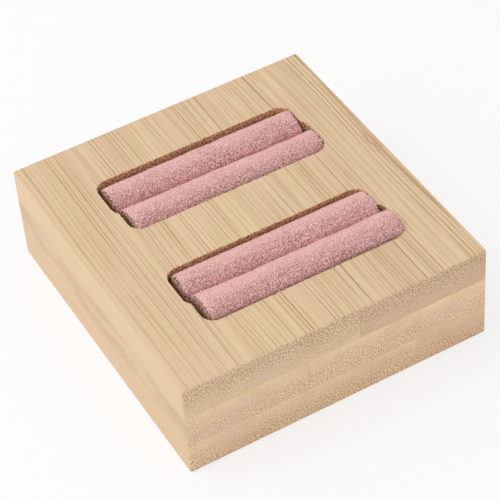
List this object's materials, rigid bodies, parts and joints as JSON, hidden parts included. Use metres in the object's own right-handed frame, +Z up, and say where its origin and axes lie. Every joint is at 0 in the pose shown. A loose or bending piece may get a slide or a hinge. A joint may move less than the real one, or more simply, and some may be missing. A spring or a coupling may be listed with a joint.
{
  "type": "ring display tray",
  "caption": "Laminated bamboo block with routed slots that hold lift-out pads of suede-covered foam rolls; rings are pushed down between the rolls.",
  "frame": {"origin": "middle of the block's underside", "axes": "+X along the slots, +Y along the grain to the rear edge, +Z up"},
  "size_m": [0.059, 0.063, 0.0216],
  "materials": {
    "bamboo": "clear matt lacquer on sanded flat-pressed bamboo",
    "suede": "dusty pink microsuede with a short nap",
    "foam": "grey-brown open-cell foam, cut ends",
    "card": "plain grey-brown board"
  },
  "bodies": {
    "block": {"bottom_ply_strip_1": "bamboo", "bottom_ply_strip_2": "bamboo", "bottom_ply_strip_3": "bamboo", "middle_ply_strip_1": "bamboo", "middle_ply_strip_2": "bamboo", "middle_ply_strip_3": "bamboo", "middle_ply_strip_4": "bamboo", "top_ply_strip_1": "bamboo", "top_ply_strip_2_length_1": "bamboo", "top_ply_strip_2_length_2": "bamboo", "top_ply_strip_2_length_3": "bamboo", "top_ply_strip_3": "bamboo", "top_ply_strip_4": "bamboo"},
    "rear_pad": {"rear_pad_back_roll_cover": "suede", "rear_pad_back_roll_foam": "foam", "rear_pad_card": "card", "rear_pad_front_roll_cover": "suede", "rear_pad_front_roll_foam": "foam"},
    "front_pad": {"front_pad_back_roll_cover": "suede", "front_pad_back_roll_foam": "foam", "front_pad_card": "card", "front_pad_front_roll_cover": "suede", "front_pad_front_roll_foam": "foam"}
  },
  "joints": [
    {"name": "rear_pad_lift", "type": "slide", "parent": "block", "child": "rear_pad", "axis": [0, 0, 1], "range_m": [0, 0.015]},
    {"name": "front_pad_lift", "type": "slide", "parent": "block", "child": "front_pad", "axis": [0, 0, 1], "range_m": [0, 0.015]}
  ]
}
